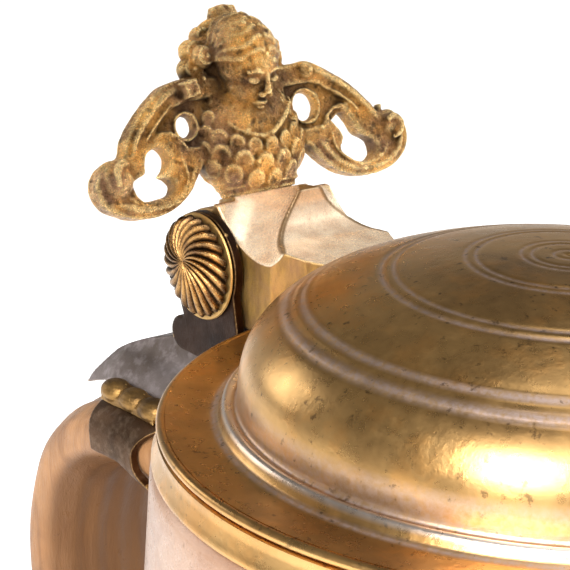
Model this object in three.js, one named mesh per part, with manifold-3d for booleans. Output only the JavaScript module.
import * as THREE from 'three';
import { mergeVertices } from 'three/addons/utils/BufferGeometryUtils.js';
import Module from 'manifold-3d';

// A stoneware jug with a hinged, gilt brass lid. Millimetres, +Z up, origin at the centre of the base.
// The handle and the hinge lie towards -X, the hinge pin runs along Y, and the lid opens towards -X.

// Driving dimensions: stoneware body
const rimHeight = 183.1;
const rimRadius = 45.6;
const rimRounding = 1.2;
const neckFlare = 0.9;
const neckLength = 22;
const bellyRadius = 62;
const bellyHeight = 82;
const footRadius = 44;
const footHeight = 5;
const footWaist = 1.5;
const wall = 4.6;
const floorThickness = 7;

// Driving dimensions: handle
const handleWidth = 26;
const handleThickness = 10.5;
const handleReach = 91.4;
const handleDrop = 18.6;
const handleLowerHeight = 88;
const handleGrooveDepth = 0.5;

// Driving dimensions: lid
const sheet = 1.2;
const brimRadius = 44.4;
const brimDish = 1.6;
const skirtHeight = 3.7;
const skirtFlare = 1.1;
const beadDiameter = 1.2;
const stepRadius = 37.3;
const domeRadius = 36;
const domeHeight = 17.9;
const bezelDepth = 3;
const bezelClearance = 0.8;

// Driving dimensions: hinge
const pinOffset = 8.1;
const pinHeight = 3.8;
const pinRadius = 1.8;
const barrelRadius = 7.2;
const barrelLength = 18.1;
const cheekThickness = 1.3;
const cheekRadius = 7;
const lugRadius = 4.2;
const collarThickness = 0.5;
const collarRadius = 6.9;
const capRadius = 6.6;
const capHeight = 2.7;
const capFlutes = 24;
const capLean = 0.45;
const capFluteDepth = 0.35;
const capSocket = 1.3;
const footLength = 13.9;
const footThickness = 4.6;
const footClearance = 0.8;
const footInset = 0.9;

// Driving dimensions: hinge block and its hollows
const blockRise = 0.7;
const pedestalHalfWidth = 5.8;
const pedestalDepth = 7.4;
const pedestalRise = 2.6;
const hollowRadius = 6.4;
const scotiaRadius = 4.3;
const lipHalfWidth = 7.2;
const lipHeight = 8.4;

// Driving dimensions: thumbpiece
const lean = THREE.MathUtils.degToRad(20);
const scrollThickness = 2.8;
const scrollBevel = 0.6;
const scrollReach = 25.1;
const scrollRise = 15.4;
const scrollEyeRadius = 1.75;
const knobRadius = 1.15;
const bustHeight = 24.2;
const bustHalfWidth = 8;
const headHeight = 10.4;
const bustDepth = 9.4;
const baseHalfWidth = 5.6;
const baseDepth = 7.8;
const baseThickness = 1.4;
const baseDrop = 0.5;

// Driving dimensions: strap, rails and clamp band on the handle
const saddleHalfWidth = 9.2;
const saddleLength = 35.6;
const saddleShoulder = 3.4;
const saddleFall = 10.1;
const saddleNoseHollow = 4.6;
const bandLength = 12.8;
const bandWall = 1.2;
const bandStart = 15.4;
const railLobes = 3;
const railWidth = 3;
const railHeight = 2.4;
const railRise = 0.35;

// Clearances
const seat = 0.3;
const thinSeat = 0.1;
const boreClearance = 0.15;
const runningGap = 0.2;

// Derived levels
const beadLevel = -brimDish - sheet / 2;
const skirtTop = beadLevel - beadDiameter / 2 - thinSeat;
const skirtBottom = skirtTop - skirtHeight;
const brimLevel = rimHeight + seat - skirtBottom;
const pinX = -(rimRadius + pinOffset);
const handleTop = rimHeight - handleDrop;

const wasm = await Module();
wasm.setup();

// Turns a closed three.js geometry into a solid that can be joined and cut
function solid(geometry) {
  const bare = geometry.clone();
  for (const name of Object.keys(bare.attributes)) {
    if (name !== 'position') bare.deleteAttribute(name);
  }
  const merged = mergeVertices(bare, 1e-4);
  return new wasm.Manifold(new wasm.Mesh({
    numProp: 3,
    vertProperties: new Float32Array(merged.attributes.position.array),
    triVerts: new Uint32Array(merged.index.array),
  }));
}

function geometryOf(body) {
  const mesh = body.getMesh();
  const geometry = new THREE.BufferGeometry();
  geometry.setAttribute('position', new THREE.BufferAttribute(new Float32Array(mesh.vertProperties), 3));
  geometry.setIndex(new THREE.BufferAttribute(new Uint32Array(mesh.triVerts), 1));
  geometry.computeVertexNormals();
  return geometry;
}

function joined(bodies) {
  return bodies.reduce((whole, body) => whole.add(body));
}

// A closed ring or a solid of revolution about +Z from [radius, height] points
function turned(points, segments = 48) {
  const profile = points.map(([radius, height]) => new THREE.Vector2(radius, height));
  return new THREE.LatheGeometry(profile, segments).rotateX(Math.PI / 2);
}

// A shape drawn in X and Z, extruded along Y between two values
function prismAlongY(shape, from, to, options = {}) {
  const depth = to - from;
  const geometry = new THREE.ExtrudeGeometry(shape, {
    depth,
    bevelEnabled: false,
    curveSegments: 8,
    ...options,
  });
  return geometry.rotateX(Math.PI / 2).translate(0, to, 0);
}

// A shape drawn in Y and Z, extruded along X from a place
function prismAlongX(shape, from, options) {
  const basis = new THREE.Matrix4().makeBasis(
    new THREE.Vector3(0, 1, 0),
    new THREE.Vector3(0, 0, 1),
    new THREE.Vector3(1, 0, 0),
  );
  return new THREE.ExtrudeGeometry(shape, options).applyMatrix4(basis).translate(from, 0, 0);
}

// A shape drawn in X and Y, extruded upwards between two levels
function prismUp(shape, from, to) {
  return new THREE.ExtrudeGeometry(shape, { depth: to - from, bevelEnabled: false }).translate(0, 0, from);
}

function shapeOf(points) {
  return new THREE.Shape(points.map(([x, y]) => new THREE.Vector2(x, y)));
}

function splineOf(points) {
  return new THREE.SplineCurve(points.map(([x, y]) => new THREE.Vector2(x, y)));
}

function cylinderAlongY(radius, from, to, x, z, segments = 24) {
  const geometry = new THREE.CylinderGeometry(radius, radius, to - from, segments);
  return geometry.translate(x, (from + to) / 2, z);
}

function boxBetween(low, high) {
  const size = high.map((value, i) => value - low[i]);
  const geometry = new THREE.BoxGeometry(...size);
  return geometry.translate(...low.map((value, i) => value + size[i] / 2));
}

function ellipsoid(center, radii, widthSegments = 14, heightSegments = 10) {
  return new THREE.SphereGeometry(1, widthSegments, heightSegments).scale(...radii).translate(...center);
}

// Stoneware body

// Outer radius of the jug at a height: a short foot, a round belly and a wide, nearly straight neck
function bodyRadius(height) {
  const neckStart = rimHeight - neckLength;
  const neckRadius = rimRadius + neckFlare;
  const bellyStart = footHeight + 3;
  const waistRadius = footRadius - footWaist;
  if (height >= neckStart) {
    return rimRadius + neckFlare * (rimHeight - height) / neckLength;
  }
  if (height >= bellyHeight) {
    const t = (height - bellyHeight) / (neckStart - bellyHeight);
    return neckRadius + (bellyRadius - neckRadius) * (0.5 + 0.5 * Math.cos(Math.PI * t));
  }
  if (height >= bellyStart) {
    const t = (height - bellyStart) / (bellyHeight - bellyStart);
    return waistRadius + (bellyRadius - waistRadius) * Math.sin(Math.PI * t / 2);
  }
  return footRadius;
}

function bodyHeights() {
  const heights = [];
  const steps = 10;
  const start = footHeight + 3;
  for (let i = 0; i <= steps; i += 1) {
    heights.push(start + (rimHeight - rimRounding - start) * i / steps);
  }
  return heights;
}

function jugBody() {
  const outer = bodyHeights().map((height) => [bodyRadius(height), height]);
  const inner = bodyHeights()
    .filter((height) => height > floorThickness + wall)
    .map((height) => [bodyRadius(height) - wall, height])
    .reverse();
  return turned([
    [0, 0],
    [footRadius - 1, 0],
    [footRadius, 1],
    [footRadius, footHeight],
    ...outer,
    [rimRadius - rimRounding, rimHeight],
    [rimRadius - wall + rimRounding, rimHeight],
    ...inner,
    [bodyRadius(floorThickness + wall) - wall * 2, floorThickness],
    [0, floorThickness],
  ]);
}

// The space the body takes, grown by a gap, to trim what is luted or fitted to it
function bodyEnvelope(gap) {
  const outer = bodyHeights().map((height) => [bodyRadius(height) + gap, height]);
  return solid(turned([[0, footHeight], ...outer, [rimRadius + gap, rimHeight], [0, rimHeight]]));
}

// Stoneware handle: a pulled strap that leaves the neck level, turns down and meets the belly

function handlePath() {
  const reach = handleReach;
  const middle = (handleTop + handleLowerHeight) / 2;
  const points = [
    [rimRadius - wall / 2, handleTop - 0.6],
    [reach - 31, handleTop],
    [reach - 18.4, handleTop - 0.4],
    [reach - 9.4, handleTop - 3.6],
    [reach - 4, handleTop - 8.6],
    [reach - 1.2, handleTop - 15.4],
    [reach, handleTop - 23],
    [reach - 2.4, middle],
    [reach - 8.5, handleLowerHeight + 20],
    [reach - 17, handleLowerHeight + 7],
    [bodyRadius(handleLowerHeight) - wall / 2, handleLowerHeight - 4],
  ];
  return new THREE.CatmullRomCurve3(points.map(([x, z]) => new THREE.Vector3(-x, 0, z)));
}

// Rounded strap section with shallow lengthwise grooves on both faces
function strapSection(offset, grooves, points) {
  const halfWidth = handleWidth / 2 + offset;
  const halfThickness = handleThickness / 2 + offset;
  const roundness = 2 / 2.7;
  const outline = [];
  for (let i = 0; i < points; i += 1) {
    const angle = 2 * Math.PI * (i + 0.5) / points;
    const across = Math.sign(Math.cos(angle)) * Math.abs(Math.cos(angle)) ** roundness;
    const through = Math.sign(Math.sin(angle)) * Math.abs(Math.sin(angle)) ** roundness;
    const groove = grooves * Math.cos(across * Math.PI * 3) ** 2 * Math.abs(through);
    outline.push([across * halfWidth, through * (halfThickness - groove)]);
  }
  return shapeOf(outline);
}

function handleSweep(offset, grooves, points = 20, steps = 24) {
  const shape = strapSection(offset, grooves, points);
  return new THREE.ExtrudeGeometry(shape, { steps, extrudePath: handlePath(), curveSegments: 1 });
}

function jugHandle() {
  return solid(handleSweep(0, handleGrooveDepth)).subtract(bodyEnvelope(seat));
}

// Lid, in heights above the brim's level

// Outer face of dome and brim, from the centre out
function lidFace() {
  const curve = new THREE.SplineCurve([
    new THREE.Vector2(0, domeHeight),
    new THREE.Vector2(domeRadius * 0.17, domeHeight - 0.2),
    new THREE.Vector2(domeRadius * 0.35, domeHeight - 0.9),
    new THREE.Vector2(domeRadius * 0.6, domeHeight * 0.827),
    new THREE.Vector2(domeRadius * 0.8, domeHeight * 0.67),
    new THREE.Vector2(domeRadius * 0.917, domeHeight * 0.503),
    new THREE.Vector2(domeRadius * 0.975, domeHeight * 0.34),
    new THREE.Vector2(domeRadius * 0.998, domeHeight * 0.16),
    new THREE.Vector2(domeRadius, 0.2),
  ]);
  const dome = curve.getPoints(10).map((point) => [Math.max(point.x, 0), point.y]);
  dome[0] = [0, domeHeight];
  return [
    ...dome,
    [stepRadius - 0.7, -0.3],
    [stepRadius, 0],
    [stepRadius + 0.7, -brimDish + 0.5],
    [stepRadius + 2.2, -brimDish - 0.1],
    [brimRadius - beadDiameter / 2 - thinSeat, -brimDish],
  ];
}

// The same outline moved inwards along its normals by a distance
function offsetOutline(points, distance) {
  return points.map(([x, y], i) => {
    const before = points[Math.max(i - 1, 0)];
    const after = points[Math.min(i + 1, points.length - 1)];
    const along = new THREE.Vector2(after[0] - before[0], after[1] - before[1]).normalize();
    return [Math.max(x - along.y * -distance, 0), y - along.x * distance];
  });
}

function lidDome() {
  const outer = lidFace();
  const inner = offsetOutline(outer, sheet);
  inner[0] = [0, domeHeight - sheet];
  const edge = outer[outer.length - 1];
  inner[inner.length - 1] = [edge[0], edge[1] - sheet];
  return turned([...outer, ...inner.reverse()].reverse());
}

// The space the lid takes above its rim, grown by a gap, to trim the hinge block
function lidEnvelope(gap) {
  const outer = offsetOutline(lidFace(), -gap);
  outer[0] = [0, domeHeight + gap];
  const beadReach = brimRadius + beadDiameter / 2 + gap;
  const skirtReach = brimRadius + skirtFlare + gap;
  return solid(turned([
    [0, skirtBottom - gap],
    [skirtReach, skirtBottom - gap],
    [skirtReach, skirtTop + thinSeat],
    [beadReach, skirtTop + thinSeat],
    [beadReach, beadLevel + beadDiameter / 2 + gap],
    ...outer.slice(0, -1).reverse(),
  ]));
}

function lidBead() {
  const points = [];
  const sides = 6;
  for (let i = 0; i <= sides; i += 1) {
    const angle = 2 * Math.PI * (i % sides) / sides;
    points.push([
      brimRadius + beadDiameter / 2 * Math.cos(angle),
      beadLevel + beadDiameter / 2 * Math.sin(angle),
    ]);
  }
  return turned(points);
}

function lidSkirt() {
  const bottomRadius = brimRadius + skirtFlare;
  return turned([
    [bottomRadius - sheet, skirtBottom],
    [bottomRadius, skirtBottom],
    [brimRadius + sheet / 4, skirtTop],
    [brimRadius - sheet, skirtTop],
    [bottomRadius - sheet, skirtBottom],
  ]);
}

function lidBezel() {
  const outer = rimRadius - wall - bezelClearance;
  const top = -brimDish - sheet - seat;
  const bottom = rimHeight - brimLevel - bezelDepth;
  return turned([
    [outer - sheet, bottom],
    [outer, bottom],
    [outer, top],
    [outer - sheet, top],
    [outer - sheet, bottom],
  ]);
}

// Hinge, in heights above the brim's level

const halfBarrel = barrelLength / 2;
const cheekInside = halfBarrel + runningGap;
const cheekOutside = cheekInside + cheekThickness;
const collarInside = cheekOutside + thinSeat;
const collarOutside = collarInside + collarThickness;
const capInside = collarOutside + thinSeat;
const pinHalfLength = capInside + capSocket - thinSeat;
const thumbX = pinX - barrelRadius / 4;
const blockTop = pinHeight + barrelRadius + blockRise;
const seatLevel = blockTop - 0.2;
const scotiaFront = pinX + barrelRadius + 1;
const pedestalTop = blockTop + pedestalRise;

function seatHeight(x) {
  return seatLevel + (x - thumbX) * Math.tan(lean);
}

// The front of the block as seen from the side, with the scotia that sweeps down to the lip
function blockSide() {
  const front = -domeRadius + 2.6;
  const shape = new THREE.Shape();
  shape.moveTo(pinX, -brimDish - sheet);
  shape.lineTo(front, -brimDish - sheet);
  shape.lineTo(front, lipHeight - 0.4);
  shape.lineTo(scotiaFront + scotiaRadius + 4, lipHeight);
  shape.lineTo(scotiaFront + scotiaRadius, lipHeight + 0.5);
  const centerX = scotiaFront + scotiaRadius;
  const centerZ = lipHeight + 0.5 + scotiaRadius;
  shape.absarc(centerX, centerZ, scotiaRadius, -Math.PI / 2, -Math.PI, true);
  shape.lineTo(scotiaFront, pedestalTop);
  shape.lineTo(pinX, pedestalTop);
  shape.closePath();
  return shape;
}

// Outline of the pedestal from above: rounded at the back, running forward to the scotia
function pedestalPlan() {
  const back = thumbX - pedestalDepth / 2;
  return shapeOf([
    [back, -pedestalHalfWidth * 0.55],
    [back + 1.3, -pedestalHalfWidth * 0.87],
    [thumbX, -pedestalHalfWidth],
    [scotiaFront, -pedestalHalfWidth],
    [scotiaFront, pedestalHalfWidth],
    [thumbX, pedestalHalfWidth],
    [back + 1.3, pedestalHalfWidth * 0.87],
    [back, pedestalHalfWidth * 0.55],
  ]);
}

// The front of the block from above: full width at the barrel, drawn in towards the dome
function blockPlan() {
  const lipX = scotiaFront + 8.5;
  const tip = -domeRadius + 3;
  return shapeOf([
    [pinX - barrelRadius, -halfBarrel],
    [lipX - 4.5, -halfBarrel],
    [lipX, -lipHalfWidth],
    [tip, -lipHalfWidth * 0.6],
    [tip, lipHalfWidth * 0.6],
    [lipX, lipHalfWidth],
    [lipX - 4.5, halfBarrel],
    [pinX - barrelRadius, halfBarrel],
  ]);
}

// Hollow that sweeps over a front corner of the pedestal down to the side of the block
function cornerHollow(side) {
  const length = 40;
  const along = new THREE.Vector3(1.09, 1.25 * side, -1).normalize();
  const through = new THREE.Vector3(pinX + 10, (halfBarrel + hollowRadius / 2 + 0.5) * side, blockTop + 0.3);
  const turn = new THREE.Quaternion().setFromUnitVectors(new THREE.Vector3(0, 1, 0), along);
  const geometry = new THREE.CylinderGeometry(hollowRadius, hollowRadius, length, 32);
  return solid(geometry.applyQuaternion(turn).translate(through.x, through.y, through.z));
}

function hingeBlock() {
  const barrel = solid(cylinderAlongY(barrelRadius, -halfBarrel, halfBarrel, pinX, pinHeight, 36));
  const plan = solid(prismUp(blockPlan(), -20, 20));
  const front = solid(prismAlongY(blockSide(), -halfBarrel, halfBarrel)).intersect(plan);
  const shoulders = [-1, 1].map((side) => solid(boxBetween(
    [pinX - 20, side < 0 ? -halfBarrel - 1 : pedestalHalfWidth, blockTop],
    [0, side < 0 ? -pedestalHalfWidth : halfBarrel + 1, pedestalTop + 20])));
  const pedestal = solid(prismUp(pedestalPlan(), pinHeight, pedestalTop));
  const above = solid(prismAlongY(shapeOf([
    [thumbX - pedestalDepth, seatHeight(thumbX - pedestalDepth)],
    [scotiaFront + 1, seatHeight(scotiaFront + 1)],
    [scotiaFront + 1, pedestalTop + 10],
    [thumbX - pedestalDepth, pedestalTop + 10],
  ]), -pedestalHalfWidth - 0.1, pedestalHalfWidth + 0.1));
  const reach = halfBarrel + 1;
  const bore = solid(cylinderAlongY(pinRadius + boreClearance, -reach, reach, pinX, pinHeight));
  return joined([barrel, front.subtract(joined(shoulders)), pedestal])
    .subtract(above)
    .subtract(cornerHollow(-1))
    .subtract(cornerHollow(1))
    .subtract(lidEnvelope(seat))
    .subtract(bore);
}

// Fixed side of the hinge: a foot with a round outer end, a round cheek under the cap at its
// left end and a smaller upright lug at its right end
function hingeFork() {
  const footTop = pinHeight - barrelRadius - footClearance;
  const footBottom = footTop - footThickness;
  const footMiddle = (footTop + footBottom) / 2;
  const inside = -(rimRadius + footInset);
  const outside = inside - footLength;
  const roundEnd = footThickness / 2;
  const foot = new THREE.Shape();
  foot.moveTo(inside, footBottom);
  foot.lineTo(inside, footTop);
  foot.lineTo(outside + roundEnd, footTop);
  foot.absarc(outside + roundEnd, footMiddle, roundEnd, Math.PI / 2, Math.PI * 1.5, false);
  foot.closePath();
  const cheek = new THREE.Shape();
  cheek.moveTo(inside, footBottom + 0.5);
  cheek.lineTo(inside + 0.4, footTop + 0.9);
  cheek.absarc(pinX, pinHeight, cheekRadius, -0.35, Math.PI + 0.35, false);
  cheek.lineTo(outside + footThickness, footBottom + 0.5);
  cheek.closePath();
  const lug = new THREE.Shape();
  lug.moveTo(pinX + lugRadius + 1, footBottom + 0.5);
  lug.absarc(pinX, pinHeight, lugRadius, 0, Math.PI, false);
  lug.lineTo(pinX - lugRadius - 1, footBottom + 0.5);
  lug.closePath();
  const reach = cheekOutside + 1;
  const bore = solid(cylinderAlongY(pinRadius + boreClearance, -reach, reach, pinX, pinHeight));
  return joined([
    solid(prismAlongY(foot, -cheekOutside, cheekOutside)),
    solid(prismAlongY(cheek, -cheekOutside, -cheekInside)),
    solid(prismAlongY(lug, cheekInside, cheekOutside)),
  ]).subtract(bore);
}

// The pin runs from inside the cap to the outer face of the lug, where its end is filed flush
function hingePin() {
  return cylinderAlongY(pinRadius, -pinHalfLength, cheekOutside, pinX, pinHeight);
}

function capCollar() {
  const ring = solid(cylinderAlongY(collarRadius, -collarOutside, -collarInside, pinX, pinHeight, 36));
  const hole = cylinderAlongY(pinRadius + boreClearance, -collarOutside - 1, 0, pinX, pinHeight);
  return ring.subtract(solid(hole));
}

// Fluted rosette over the end of the pin
function hingeCap() {
  const geometry = turned([
    [0, 0],
    [capRadius, 0],
    [capRadius, capHeight * 0.1],
    [capRadius * 0.93, capHeight * 0.34],
    [capRadius * 0.76, capHeight * 0.62],
    [capRadius * 0.5, capHeight * 0.86],
    [capRadius * 0.22, capHeight],
    [0, capHeight * 0.94],
  ], capFlutes * 4);
  const position = geometry.attributes.position;
  for (let i = 0; i < position.count; i += 1) {
    const x = position.getX(i);
    const y = position.getY(i);
    const z = position.getZ(i);
    const radius = Math.hypot(x, y);
    const fluted = radius > capRadius * 0.2 && z > capHeight * 0.15;
    const dip = fluted ? capFluteDepth / radius * (0.5 + 0.5 * Math.cos(Math.atan2(y, x) * capFlutes)) : 0;
    position.setXY(i, x * (1 - dip), y * (1 - dip) + z * capLean);
  }
  geometry.rotateX(Math.PI / 2).translate(pinX, -capInside, pinHeight);
  const socket = cylinderAlongY(pinRadius + boreClearance, -capInside - capSocket, 0, pinX, pinHeight);
  return solid(geometry).subtract(solid(socket));
}

// Thumbpiece, in its own leaning frame: +X towards the lid, Y across, Z along its height

// A point of the left scroll, drawn at a reach of 25.1 and a rise of 15.4, at the scroll's own size
function inScroll([x, y]) {
  return [-x * scrollReach / 25.1, y * scrollRise / 15.4];
}

// Outline of the left openwork scroll, from the bust out to the curled end and back
function scrollOutline() {
  const outer = splineOf([
    [4, 15.4], [8.6, 15.4], [11.8, 14.9], [14.8, 13.4], [17.3, 11.2], [19.2, 9], [20.2, 7.2],
  ].map(inScroll));
  const curl = splineOf([
    [20.2, 7.2], [22, 7], [24.2, 5.8], [25.1, 3.9], [24.6, 1.8], [23, 0.2], [20.4, -0.8], [17, -1.1],
    [13.6, -0.4], [10.8, 1], [9, 2.8], [7.5, 4.4], [4, 5],
  ].map(inScroll));
  return new THREE.Shape([...outer.getPoints(7), ...curl.getPoints(16).slice(1)]);
}

// Keyhole opening inside the scroll, with the leaf spur that points into it
function scrollKeyhole() {
  const upper = splineOf([
    [12.8, 5.2], [12.6, 6.6], [13.4, 7.7], [14.9, 7.9], [16.3, 7.1], [17.1, 5.7], [18.2, 4.2],
  ].map(inScroll));
  const lower = splineOf([
    [18.2, 4.2], [19.8, 3.4], [19.9, 1.9], [18.2, 0.9], [15.6, 0.5], [13.7, 1.4], [12.9, 2.8],
  ].map(inScroll));
  const spur = new THREE.Vector2(...inScroll([14.2, 4.2]));
  return new THREE.Path([...upper.getPoints(7), ...lower.getPoints(7).slice(1), spur]);
}

function scroll() {
  const shape = scrollOutline();
  const eye = new THREE.Path();
  const [eyeX, eyeY] = inScroll([9.6, 9.3]);
  eye.absarc(eyeX, eyeY, scrollEyeRadius, 0, Math.PI * 2, true);
  shape.holes.push(scrollKeyhole(), eye);
  return solid(prismAlongX(shape, -scrollThickness / 2 + scrollBevel, {
    depth: scrollThickness - 2 * scrollBevel,
    bevelThickness: scrollBevel,
    bevelSize: scrollBevel * 0.7,
    bevelOffset: -scrollBevel * 0.7,
    bevelSegments: 1,
    curveSegments: 10,
  }));
}

// Herm bust: a chest that narrows to a moulded base, a bowed head with a knot of hair and side curls
function bust() {
  const rise = bustHeight / 24.2;
  const across = bustHalfWidth / 8;
  const deep = bustDepth / 9.4;
  const head = headHeight / 2;
  const chest = turned([
    [0, 0.3],
    [4.4, 0.3],
    [4.8, 1.8],
    [6.4, 3.4],
    [7.3, 5.6],
    [7.2, 8.6],
    [6.2, 11],
    [4, 12.6],
    [2.9, 14.4],
    [0, 15],
  ], 22).scale(bustDepth / 16, across, rise);
  const place = (x, y, z) => [x * deep, y * across, z * rise];
  const lumps = [
    ellipsoid(place(2.6, 0.1, 15.6), [head * 0.85, head * 0.83, head], 14, 10),
    ellipsoid(place(6.6, 0.1, 14.2), [head * 0.17, head * 0.13, head * 0.23], 8, 6),
    ellipsoid(place(-0.6, -1, 18), place(4.8, 6.9, 4.4), 16, 10),
    ellipsoid(place(-1, -1.4, 21.6), place(2.5, 3.6, 2.5), 12, 8),
    ellipsoid(place(0.2, -7.4, 17.6), place(2.2, 1.9, 2.3), 9, 6),
    ellipsoid(place(-0.2, -7.1, 15.2), place(2.1, 1.8, 2), 9, 6),
    ellipsoid(place(0.2, 5.2, 17.4), place(2.2, 1.9, 2.3), 9, 6),
    ellipsoid(place(-0.2, 5, 15), place(2.1, 1.8, 2), 9, 6),
  ];
  return joined([solid(chest), ...lumps.map(solid)]);
}

function thumbpiece() {
  const base = new THREE.CylinderGeometry(1, 1, baseThickness - thinSeat, 20)
    .rotateX(Math.PI / 2)
    .scale(baseDepth / 2, baseHalfWidth, 1)
    .translate(0, 0, (baseThickness + thinSeat) / 2 - baseDrop);
  const [knobY, knobZ] = inScroll([9, 13.9]);
  const [endY, endZ] = inScroll([22.9, 4.7]);
  const knob = [scrollThickness * 0.5, knobRadius, knobRadius];
  const end = [scrollThickness * 0.8, scrollThickness * 0.68, scrollThickness * 0.72];
  const face = scrollThickness / 2;
  const knobs = [-1, 1].map((side) => solid(ellipsoid([face, knobY * side, knobZ], knob, 8, 6)));
  const ends = [-1, 1].map((side) => solid(ellipsoid([0, endY * side, endZ], end, 10, 6)));
  const left = scroll();
  return joined([solid(base), bust(), left, left.mirror([0, 1, 0]), ...knobs, ...ends]);
}

// Fixed mount on the handle, in heights above the brim's level

const crown = handleTop - brimLevel + handleThickness / 2;
const saddleBottom = crown + seat * 2 + bandWall;
const saddleTop = pinHeight - barrelRadius - footClearance - footThickness - thinSeat;
const saddleInside = -(rimRadius + neckFlare + footInset);
const saddleEnd = saddleInside - saddleLength;
const saddleLow = saddleBottom - 7;

// The saddle from the side: level under the foot, then falling over the handle to a thin nose
function saddleSide() {
  const footEnd = -(rimRadius + footInset + footLength);
  const fall = [[0.508, 0.15], [0.646, 0.3], [0.795, 0.5], [0.916, 0.735], [1, 1]];
  const crest = fall.map(([along, down]) => (
    new THREE.Vector2(saddleInside - saddleLength * along, saddleTop - saddleFall * down)));
  const side = new THREE.Shape();
  side.moveTo(saddleInside, saddleLow);
  side.lineTo(saddleInside, saddleTop);
  side.lineTo(footEnd, saddleTop);
  side.splineThru(crest);
  side.lineTo(saddleEnd, saddleTop - saddleFall * 1.29);
  side.quadraticCurveTo(
    saddleEnd + saddleLength * 0.11,
    saddleTop - saddleFall * 1.08,
    saddleEnd + saddleLength * 0.21,
    saddleTop - saddleFall * 1.02,
  );
  side.lineTo(saddleEnd + saddleLength * 0.21, saddleLow);
  side.closePath();
  return side;
}

// The saddle from the front: narrow at the foot's level and splayed towards its side edges
function saddleRoof() {
  const rise = saddleTop - saddleBottom;
  const half = [
    [saddleHalfWidth, saddleLow],
    [saddleHalfWidth, saddleBottom - 0.2],
    [saddleHalfWidth - 2, saddleBottom + rise * 0.22],
    [saddleShoulder + 1.6, saddleBottom + rise * 0.45],
    [saddleShoulder, saddleTop + 1],
  ];
  return shapeOf([...half, ...half.map(([y, z]) => [-y, z]).reverse()]);
}

// The saddle from above: its nose is a bracket, hollow between two pointed corners
function saddlePlan() {
  const half = [
    [saddleEnd, saddleHalfWidth],
    [saddleEnd + saddleNoseHollow * 0.15, saddleHalfWidth * 0.89],
    [saddleEnd + saddleNoseHollow * 0.58, saddleHalfWidth * 0.67],
    [saddleEnd + saddleNoseHollow * 0.95, saddleHalfWidth * 0.42],
    [saddleEnd + saddleNoseHollow, saddleHalfWidth * 0.2],
  ];
  return shapeOf([
    [saddleInside, -saddleHalfWidth],
    [saddleInside, saddleHalfWidth],
    ...half,
    [saddleEnd + saddleNoseHollow * 0.75, 0],
    ...half.map(([x, y]) => [x, -y]).reverse(),
  ]);
}

// Saddle from the hinge's foot out over the handle: high at the foot, draped over the band, with
// two pointed corners lifted off the handle at its nose
function handleStrap() {
  const roof = prismAlongX(saddleRoof(), saddleEnd - 6, { depth: saddleLength * 1.5, bevelEnabled: false });
  const bend = [saddleEnd + saddleLength * 0.185, 0, saddleBottom];
  const droop = solid(roof)
    .translate(bend.map((value) => -value))
    .rotate([0, -24, 0])
    .translate(bend);
  const side = prismAlongY(saddleSide(), -saddleHalfWidth - 1, saddleHalfWidth + 1);
  return solid(side)
    .intersect(solid(roof))
    .intersect(droop)
    .intersect(solid(prismUp(saddlePlan(), saddleLow - 2, saddleTop + 2)))
    .subtract(handleEnvelope(seat * 2 + bandWall))
    .subtract(neckEnvelope());
}

function neckEnvelope() {
  return bodyEnvelope(seat).translate([0, 0, -brimLevel]);
}

function handleEnvelope(offset) {
  return solid(handleSweep(offset, 0, 20, 24)).translate([0, 0, -brimLevel]);
}

// The band from the side: hollow towards the neck, with a short flap that ends half way down
function bandSide() {
  const inside = -(rimRadius + bandStart);
  const outside = inside - bandLength;
  const middle = handleTop - brimLevel - 0.6;
  const crownOfBand = middle + handleThickness;
  const shape = new THREE.Shape();
  shape.moveTo(inside, crownOfBand);
  shape.lineTo(inside, middle + 5);
  shape.quadraticCurveTo(inside - 1.9, middle + 3.9, inside - 2.9, middle + 1.6);
  shape.quadraticCurveTo(inside - 3.3, middle - 1.2, inside, middle - 3.8);
  shape.lineTo(inside - 1.4, middle - 3.6);
  shape.quadraticCurveTo(inside - 4, middle - 1.2, inside - 7, middle - 1);
  shape.lineTo(outside, middle - 1.3);
  shape.lineTo(outside, crownOfBand);
  shape.closePath();
  return shape;
}

// Clamp band that grips the handle under the saddle, bent over its top and down both sides
function handleBand() {
  const reach = handleWidth;
  return handleEnvelope(seat + bandWall)
    .subtract(handleEnvelope(seat))
    .intersect(solid(prismAlongY(bandSide(), -reach, reach)));
}

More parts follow.
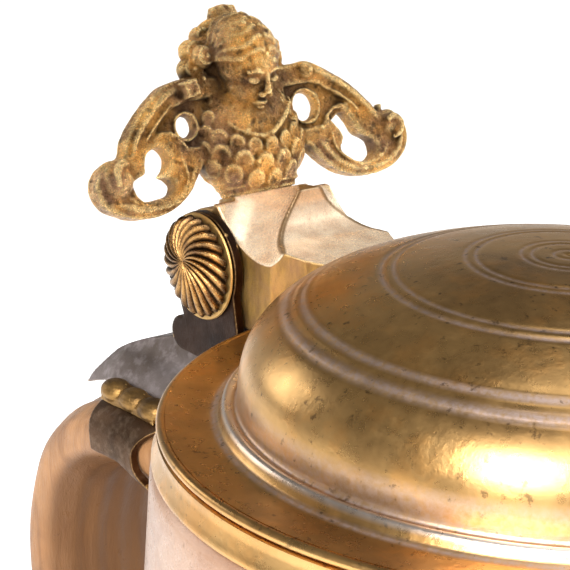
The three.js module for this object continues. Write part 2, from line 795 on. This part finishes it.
// Lobed rail that packs the gap between the saddle's side edge and the shoulder of the band
function scallopedRail(side) {
  const start = -(rimRadius + bandStart + 0.8);
  const lobe = (bandLength + 0.4) / railLobes / 2;
  const inner = saddleHalfWidth + seat;
  const top = saddleBottom + railRise;
  const web = boxBetween(
    [start - 2 * lobe * railLobes + 0.4, inner, top - railHeight],
    [start - 0.4, inner + railWidth / 2, top - 0.5],
  );
  const lobes = [...Array(railLobes).keys()].map((i) => solid(new THREE.SphereGeometry(1, 20, 14)
    .scale(lobe * 1.12, railWidth * 0.6, railHeight * 0.62)
    .translate(start - lobe * (2 * i + 1), inner + railWidth * 0.4, top - railHeight * 0.5)));
  const clear = solid(boxBetween(
    [start - 4 * lobe * railLobes, -saddleHalfWidth, top - 3 * railHeight],
    [start + 4 * lobe, inner, top + 3 * railHeight],
  ));
  const rail = joined([solid(web), ...lobes]).subtract(clear);
  const placed = side < 0 ? rail.mirror([0, 1, 0]) : rail;
  return placed.subtract(handleEnvelope(seat + bandWall + thinSeat));
}

// Materials

const stoneware = new THREE.MeshStandardMaterial({ color: 0xe2cdb9, roughness: 0.38, metalness: 0 });
const handleStoneware = new THREE.MeshStandardMaterial({ color: 0xc99a72, roughness: 0.4, metalness: 0 });
const lidBrass = new THREE.MeshStandardMaterial({ color: 0xb08a45, roughness: 0.28, metalness: 1 });
const giltBronze = new THREE.MeshStandardMaterial({ color: 0xb98a48, roughness: 0.4, metalness: 1 });
const wornBrass = new THREE.MeshStandardMaterial({ color: 0x8d8178, roughness: 0.5, metalness: 1 });
const darkBrass = new THREE.MeshStandardMaterial({ color: 0x7a5c2c, roughness: 0.45, metalness: 1 });

// Assembly

const group = new THREE.Group();
const mount = new THREE.Group();
mount.position.z = brimLevel;
group.add(mount);
const thumb = new THREE.Group();
thumb.position.set(thumbX, 0, seatLevel + baseDrop);
thumb.rotation.y = -lean;
mount.add(thumb);

function place(parent, name, shape, material) {
  const geometry = shape.isBufferGeometry ? shape : geometryOf(shape);
  const mesh = new THREE.Mesh(geometry, material);
  mesh.name = name;
  parent.add(mesh);
}

place(group, 'jug_body', jugBody(), stoneware);
place(group, 'jug_handle', jugHandle(), handleStoneware);
place(mount, 'lid_dome', lidDome(), lidBrass);
place(mount, 'lid_bead', lidBead(), lidBrass);
place(mount, 'lid_skirt', lidSkirt(), lidBrass);
place(mount, 'lid_bezel', lidBezel(), lidBrass);
place(mount, 'hinge_block', hingeBlock(), giltBronze);
place(thumb, 'thumbpiece', thumbpiece(), giltBronze);
place(mount, 'hinge_fork', hingeFork(), wornBrass);
place(mount, 'hinge_pin', hingePin(), darkBrass);
place(mount, 'cap_collar', capCollar(), darkBrass);
place(mount, 'hinge_cap', hingeCap(), giltBronze);
place(mount, 'scalloped_rail_left', scallopedRail(-1), darkBrass);
place(mount, 'scalloped_rail_right', scallopedRail(1), darkBrass);
place(mount, 'handle_strap', handleStrap(), wornBrass);
place(mount, 'handle_band', handleBand(), wornBrass);

export default group;
